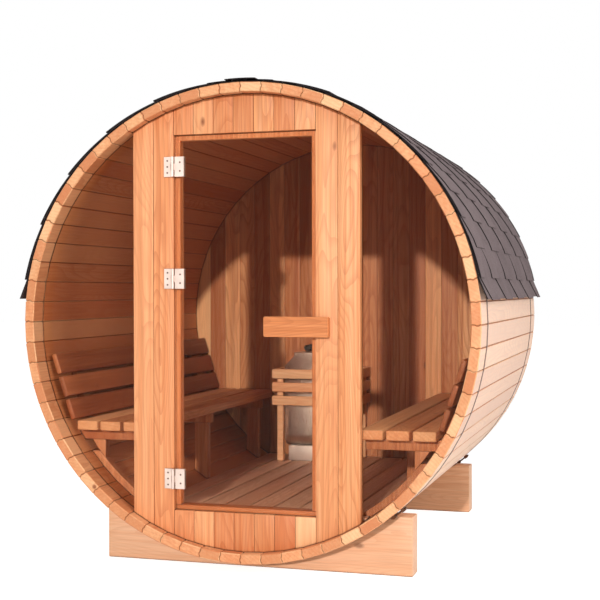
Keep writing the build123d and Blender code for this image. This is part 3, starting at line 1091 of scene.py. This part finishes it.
@dataclass
class Hardware:
    """Steel fittings that keep their CAD shape, and the screws that hold them."""

    barrel: Barrel
    screw_radius: float = 0.0034
    screw_height: float = 0.0008
    screw_sides: int = 16
    screw_rim: float = 0.3
    screw_hollow: float = 0.9
    leaf_height: float = 0.076
    leaf_margin: float = 0.3
    middle_leaf_above_axis: float = 0.168
    post_screw_inset: float = 0.014
    post_leaf_back: float = 0.0377
    door_screw_inset: float = 0.016
    door_leaf_back: float = 0.037

    def screw(self, x: float, y: float, z: float) -> Piece:
        """A raised head with a sunk middle, facing the front.

        Args:
            x: Its place to the right.
            y: The face that it sits on.
            z: Its height.

        Returns:
            The screw head.
        """
        deselect()
        bpy.ops.mesh.primitive_cylinder_add(
            vertices=self.screw_sides,
            radius=self.screw_radius,
            depth=self.screw_height * 2,
            location=(x, y, z),
            rotation=(math.pi / 2, 0, 0),
        )
        head = bpy.context.object
        settle(head)
        bpy.ops.object.mode_set(mode="EDIT")
        bpy.ops.mesh.select_mode(type="FACE")
        bpy.ops.mesh.select_all(action="DESELECT")
        bpy.ops.object.mode_set(mode="OBJECT")
        front = min(head.data.polygons, key=lambda face: face.center.y)
        front.select = True
        bpy.ops.object.mode_set(mode="EDIT")
        rim = self.screw_radius * self.screw_rim
        bpy.ops.mesh.inset(thickness=rim, depth=self.screw_height * self.screw_rim)
        bpy.ops.mesh.inset(thickness=rim, depth=0)
        sunk = self.screw_height * self.screw_hollow
        bpy.ops.mesh.extrude_region_move(TRANSFORM_OT_translate={"value": (0, sunk, 0)})
        bpy.ops.object.mode_set(mode="OBJECT")
        return head

    def build(self, steel: Steel, screw: Steel, band: Steel) -> None:
        """Dress the bands and hinges and set the screws.

        Args:
            steel: The hinges' finish.
            screw: The screws' finish.
            band: The bands' finish.
        """
        band_material = band.make()
        steel_material = steel.make()
        screw_material = screw.make()
        for node in ("band_front", "band_rear"):
            dress(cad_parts[node], band_material)
        for node in (POST_LEAVES, DOOR_LEAVES):
            dress(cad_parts[node], steel_material)
        self.set_screws(POST_LEAVES, "post_hinge_screws", ROOM_BODY, 3, screw_material)
        self.set_screws(DOOR_LEAVES, "door_hinge_screws", DOOR_BODY, 2, screw_material)

    def set_screws(self, node: str, name: str, body: str, count: int, material: Material) -> None:
        """Set a column of screws on each of a node's three leaves.

        Args:
            node: The CAD node of the leaves.
            name: The screws' piece name.
            body: The body that they move with.
            count: The screws on each leaf.
            material: Their finish.
        """
        low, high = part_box(node)
        half = self.leaf_height / 2
        middles = (low[2] + half, AXIS_HEIGHT + self.middle_leaf_above_axis, high[2] - half)
        on_post = node == POST_LEAVES
        x = low[0] + self.post_screw_inset if on_post else high[0] - self.door_screw_inset
        face = self.barrel.front + (self.post_leaf_back if on_post else self.door_leaf_back)
        pitch = self.leaf_height / (count + self.leaf_margin)
        heads = []
        for middle in middles:
            for number in range(count):
                heads.append(self.screw(x, face, middle + (number - (count - 1) / 2) * pitch))
        finish_piece(joined(heads, name), material, body)


@dataclass
class Glazing:
    """The two window panes and the door leaf."""

    nodes: tuple[str, ...] = ("window_right", "window_left", "door_glass")
    edge: float = 0.0008

    def build(self, finish: TintedGlass) -> None:
        """Dress every pane, its edges eased.

        Args:
            finish: The glass.
        """
        material = finish.make()
        for node in self.nodes:
            body = DOOR_BODY if node == "door_glass" else ROOM_BODY
            pane = softened(node, f"{node}_pane", self.edge, 1)
            take_over(pane, node, material, body)


@dataclass
class Heater:
    """The casing, its base, and the stones heaped on it."""

    edge: float = 0.003
    stone_count: int = 46
    stone_size: float = 0.021
    stone_dents: float = 0.2
    stone_squash: tuple[Span, ...] = ((0.75, 1.0), (0.7, 0.95), (0.5, 0.7))
    seed: int = 5
    layers: tuple[float, ...] = (0.0, 0.45, 0.85)
    heap_taper: float = 0.42
    side_margin: float = 0.8
    top_margin: float = 0.7

    def stones(self) -> Piece:
        """Broken stones in a heap, each a squashed and dented ball.

        Returns:
            The heap.
        """
        low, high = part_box("heater_stones")
        rng = random.Random(self.seed)
        stones = []
        centre_x = (low[0] + high[0]) / 2
        centre_y = (low[1] + high[1]) / 2
        for number in range(self.stone_count):
            layer = self.layers[number % len(self.layers)]
            spread = 1.0 - self.heap_taper * layer
            half_x = (high[0] - low[0]) / 2 * spread - self.stone_size * self.side_margin
            half_y = (high[1] - low[1]) / 2 * spread - self.stone_size * self.side_margin
            x = centre_x + rng.uniform(-half_x, half_x)
            y = centre_y + rng.uniform(-half_y, half_y)
            room = high[2] - low[2] - 2 * self.stone_size * self.top_margin
            z = low[2] + self.stone_size * self.top_margin + room * layer
            deselect()
            bpy.ops.mesh.primitive_ico_sphere_add(subdivisions=2, radius=self.stone_size, location=(0, 0, 0))
            stone = bpy.context.object
            bpy.ops.object.mode_set(mode="EDIT")
            bpy.ops.mesh.select_all(action="SELECT")
            bpy.ops.transform.vertex_random(offset=self.stone_size * self.stone_dents, seed=number)
            bpy.ops.object.mode_set(mode="OBJECT")
            width, depth, height = (rng.uniform(*share) for share in self.stone_squash)
            squash = Matrix.Diagonal((width, depth, height, 1))
            turn = Matrix.Rotation(rng.uniform(0, math.tau), 4, "Z")
            stone.data.transform(Matrix.Translation((x, y, z)) @ turn @ squash)
            stones.append(stone)
        return joined(stones, "sauna_stones")

    def build(self, steel: Steel, rock: Rock, base: Steel) -> None:
        """Dress the casing and the base and heap the stones.

        Args:
            steel: The casing's finish.
            rock: The stones' finish.
            base: The base's finish.
        """
        for node, name, finish, slot in (
            ("heater_body", "heater_casing", steel, "heater_steel"),
            ("heater_base", "heater_foot_box", base, "heater_grey"),
        ):
            take_over(softened(node, name, self.edge), node, finish.make(), ROOM_BODY)
        take_over(self.stones(), "heater_stones", rock.make(), ROOM_BODY)


@dataclass(frozen=True)
class SoftLamp:
    """A broad lamp: the way that its light goes, its width and its power."""

    name: str
    travel: tuple[float, float, float]
    width: float
    power: float


@dataclass
class Studio:
    """A plain pale floor, soft light and the photograph's viewpoint."""

    eye: tuple[float, float, float] = (1.5107, -5.1125, 1.0699)
    yaw: float = 0.2942
    pitch: float = -0.0085
    roll: float = -0.0018
    lens: float = 71.96
    sensor: float = 36.0
    floor_size: float = 60.0
    floor_colour: Colour = (0.8, 0.79, 0.78, 1)
    floor_glow: float = 0.72
    key_travel: tuple[float, float, float] = (-0.128, 1.72, -0.423)
    key_strength: float = 2.15
    key_spread: float = math.radians(1.6)
    lamp_distance: float = 5.5
    aim_height: float = 0.9
    soft_lamps: tuple[SoftLamp, ...] = (
        SoftLamp("right_soft", (-1.0, 0.45, -0.35), 3.6, 175.0),
        SoftLamp("left_soft", (1.0, 0.7, -0.3), 3.6, 30.0),
        SoftLamp("top_soft", (-0.1, 0.3, -1.0), 4.0, 70.0),
    )
    sky_colour: Colour = (1.0, 0.98, 0.96, 1)
    sky_strength: float = 0.24

    def floor(self) -> None:
        """Lay the floor under the cradles, which looks white and keeps the shadow."""
        deselect()
        bpy.ops.mesh.primitive_plane_add(size=self.floor_size, location=(0, 0, 0))
        ground = bpy.context.object
        ground.name = "studio_floor"
        bench = NodeBench("studio_floor")
        bench.shader.inputs["Base Color"].default_value = self.floor_colour
        bench.shader.inputs["Roughness"].default_value = 0.9
        bench.shader.inputs["Emission Color"].default_value = WHITE
        glow = bench.math("MULTIPLY", seen_directly(bench.tree), self.floor_glow)
        bench.join(glow, bench.shader.inputs["Emission Strength"])
        dress(ground, bench.material)

    def lamp(self, name: str, kind: str, travel: tuple[float, float, float], power: float) -> bpy.types.Light:
        """Hang a lamp whose light travels in a given direction.

        Args:
            name: The lamp's name.
            kind: SUN or AREA.
            travel: The way that its light goes.
            power: Its strength.

        Returns:
            The lamp's data.
        """
        data = bpy.data.lights.new(name, kind)
        data.energy = power
        lamp = bpy.data.objects.new(name, data)
        bpy.context.scene.collection.objects.link(lamp)
        way = Vector(travel)
        lamp.rotation_euler = way.to_track_quat("-Z", "Y").to_euler()
        lamp.location = Vector((0, 0, self.aim_height)) - way.normalized() * self.lamp_distance
        return data

    def lights(self) -> None:
        """A low key from the front, and broad soft lamps from the right, the left and above."""
        key = self.lamp("key", "SUN", self.key_travel, self.key_strength)
        key.angle = self.key_spread
        for soft in self.soft_lamps:
            data = self.lamp(soft.name, "AREA", soft.travel, soft.power)
            data.shape = "SQUARE"
            data.size = soft.width

    def world(self) -> None:
        """Light the scene evenly and show white behind it."""
        world = bpy.data.worlds.new("studio")
        bpy.context.scene.world = world
        world.use_nodes = True
        tree = world.node_tree
        tree.nodes.clear()
        output = tree.nodes.new("ShaderNodeOutputWorld")
        blend = tree.nodes.new("ShaderNodeMixShader")
        tree.links.new(seen_directly(tree), blend.inputs[0])
        for number, (colour, strength) in enumerate(((self.sky_colour, self.sky_strength), (WHITE, 1.0))):
            backdrop = tree.nodes.new("ShaderNodeBackground")
            backdrop.inputs["Color"].default_value = colour
            backdrop.inputs["Strength"].default_value = strength
            tree.links.new(backdrop.outputs[0], blend.inputs[number + 1])
        tree.links.new(blend.outputs[0], output.inputs["Surface"])

    def camera(self) -> None:
        """Set the camera where the photograph was taken from."""
        data = bpy.data.cameras.new("viewpoint")
        data.lens = self.lens
        data.sensor_width = self.sensor
        data.sensor_fit = "HORIZONTAL"
        camera = bpy.data.objects.new("viewpoint", data)
        bpy.context.scene.collection.objects.link(camera)
        camera.location = self.eye
        turn = Matrix.Rotation(self.yaw, 4, "Z") @ Matrix.Rotation(math.pi / 2 + self.pitch, 4, "X")
        camera.rotation_euler = (turn @ Matrix.Rotation(self.roll, 4, "Z")).to_euler()
        bpy.context.scene.camera = camera

    def build(self) -> None:
        """Set the whole stage."""
        bpy.context.scene.view_settings.view_transform = "Standard"
        self.floor()
        self.world()
        self.lights()
        self.camera()


def write_sizes() -> None:
    """Update the view layer."""
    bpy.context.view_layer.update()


def carpentry() -> list[Carpentry]:
    """The timber pieces besides the staves, each with its own cut of wood.

    Returns:
        The pieces in the order in which they are built.
    """
    up, across, back = Grain.ALONG_Z, Grain.ALONG_X, Grain.ALONG_Y
    front = Timber("front_cedar", up, tone(250, 192, 144), tone(236, 158, 104), tone(190, 106, 60))
    rail = Timber("rail_cedar", across, tone(240, 180, 130), tone(216, 140, 88), tone(178, 100, 56))
    # painted light: the guard's cedar is paler to stand for the sun falling on it
    guard = Timber("guard_cedar_painted_light", across, tone(255, 220, 184), tone(250, 200, 160), tone(226, 160, 116))
    handle = Timber(
        "handle_cedar", across, tone(240, 166, 108), tone(222, 142, 84), tone(180, 104, 56), knots=2.0
    )
    cradle = Timber("cradle_timber", across, tone(246, 210, 180), tone(234, 184, 150), tone(210, 150, 112))
    inside = Timber(
        "inside_cedar",
        up,
        tone(250, 206, 160),
        tone(234, 172, 124),
        tone(164, 92, 56),
        board_spread=0.72,
        knots=0.78,
    )
    seat = Timber("seat_cedar", back, tone(250, 200, 154), tone(234, 168, 122), tone(184, 116, 76))
    backrest = Timber("backrest_cedar", back, tone(200, 132, 90), tone(172, 102, 64), tone(130, 68, 40))
    leg = Timber("leg_cedar", up, tone(236, 176, 130), tone(214, 144, 100), tone(170, 102, 66))
    deck = Timber("floor_cedar", back, tone(252, 218, 196), tone(238, 196, 170), tone(206, 154, 126))
    posts = ("front_post_right", "front_post_left", "front_header", "front_sill", "door_stops")
    walls = ("back_wall", "backrest_right_battens", "backrest_left_battens")
    return [
        Carpentry(front, posts, "front_cedar"),
        Carpentry(rail, ("door_threshold",), "front_cedar"),
        Carpentry(guard, ("heater_guard",), "interior_cedar"),
        Carpentry(handle, ("door_handle",), "front_cedar", 0.003, DOOR_BODY),
        Carpentry(cradle, ("cradle_front", "cradle_rear"), "cradle_timber", 0.004),
        Carpentry(inside, walls, "interior_cedar"),
        Carpentry(seat, ("bench_right_seat", "bench_left_seat"), "bench_cedar", 0.006),
        Carpentry(backrest, ("backrest_right_slats", "backrest_left_slats"), "bench_cedar", 0.006),
        Carpentry(leg, ("bench_right_supports", "bench_left_supports"), "bench_cedar"),
        Carpentry(deck, ("floor_deck", "floor_bearers"), "floor_cedar", 0.003),
    ]


def main() -> None:
    """Build every sub-assembly in order."""
    logging.basicConfig(level=logging.INFO)
    barrel = Barrel()
    barrel.build(
        Timber(
            "stave_cedar",
            Grain.ALONG_Y,
            tone(244, 196, 150),
            tone(232, 166, 118),
            tone(196, 118, 74),
            0.55,
            board_spread=0.8,
            figure=0.75,
            # painted light: the pale colour laid on the staves' outward faces
            painted_outer_light=tone(255, 236, 218),
        )
    )
    greys = (tone(98, 84, 85), tone(132, 117, 117), tone(64, 54, 56))
    ShingleRoof(barrel).build(Granules("shingle_granules", *greys, black=tone(26, 21, 22)))
    for pieces in carpentry():
        pieces.build()
    Hardware(barrel).build(
        # the hinge steel's warm, pale colour is partly its own satin grey and partly a painted reflection of
        # the warm cedar around it
        Steel("hinge_satin_steel", tone(206, 186, 174), (1, 1, 0.03), 0.46),
        Steel("screw_steel", tone(92, 70, 62), roughness=0.5),
        # painted shade: the band steel is coloured dark brown to stand for the thin shadow line along its
        # edge
        Steel("band_brushed_steel", tone(104, 66, 46), (0.2, 1, 0.2), 0.42),
    )
    Heater().build(
        Steel("casing_steel", tone(214, 204, 196), (1, 1, 0.03), 0.32),
        Rock("heater_rock", tone(46, 42, 42), tone(96, 88, 86)),
        Steel("hammered_base", tone(206, 198, 194), roughness=0.55),
    )
    Glazing().build(TintedGlass("bronze_glass", (0.87, 0.76, 0.66, 1.0), (0.97, 0.94, 0.91, 1.0)))
    Studio().build()
    write_sizes()


if __name__ == "__main__":
    main()
